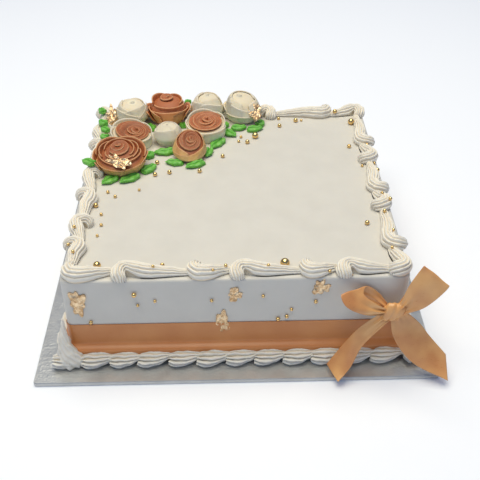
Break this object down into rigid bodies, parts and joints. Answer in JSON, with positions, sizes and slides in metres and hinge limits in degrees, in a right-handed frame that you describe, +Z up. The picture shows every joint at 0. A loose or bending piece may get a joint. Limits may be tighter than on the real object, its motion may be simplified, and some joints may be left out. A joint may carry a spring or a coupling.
{
  "type": "decorated cake",
  "caption": "Square iced celebration cake on a foil board, with piped borders and roses, gold pearls, gold leaf, and a satin ribbon band and bow.",
  "frame": {"origin": "centre of the underside of the square board", "axes": "+Z up, -Y towards the front with the bow, +X to the right seen from the front"},
  "size_m": [0.361, 0.366, 0.1221],
  "materials": {
    "foil_board": "embossed silver foil over card",
    "icing": "smooth ivory buttercream",
    "satin_ribbon": "caramel satin",
    "copper_icing": "piped copper buttercream",
    "white_icing": "piped white buttercream",
    "green_icing": "piped green buttercream",
    "gold": "edible gold, polished pearls and crumpled leaf"
  },
  "bodies": {
    "root": {"board": "foil_board", "border_foot_back": "icing", "border_foot_front": "icing", "border_foot_left": "icing", "border_foot_right": "icing", "border_top_back": "icing", "border_top_front": "icing", "border_top_left": "icing", "border_top_right": "icing", "bow": "satin_ribbon", "cake": "icing", "leaf_01": "green_icing", "leaf_02": "green_icing", "leaf_03": "green_icing", "leaf_04": "green_icing", "leaf_05": "green_icing", "leaf_06": "green_icing", "leaf_07": "green_icing", "leaf_08": "green_icing", "leaf_09": "green_icing", "leaf_10": "green_icing", "leaf_11": "green_icing", "leaf_12": "green_icing", "leaf_13": "green_icing", "leaf_14": "green_icing", "leaf_15": "green_icing", "leaf_16": "green_icing", "leaf_17": "green_icing", "leaf_18": "green_icing", "leaf_19": "green_icing", "leaf_20": "green_icing", "leaf_21": "green_icing", "leaf_22": "green_icing", "leaf_23": "green_icing", "ribbon_band": "satin_ribbon", "rose_1_white_open": "white_icing", "rose_2_copper_open": "copper_icing", "rose_3_white_dome": "white_icing", "rose_4_white_open": "white_icing", "rose_5_copper_white": "copper_icing", "rose_6_white_bud": "white_icing", "rose_7_copper_white": "copper_icing", "rose_8_copper_small": "copper_icing", "rose_9_copper_large": "copper_icing"}
  },
  "joints": []
}
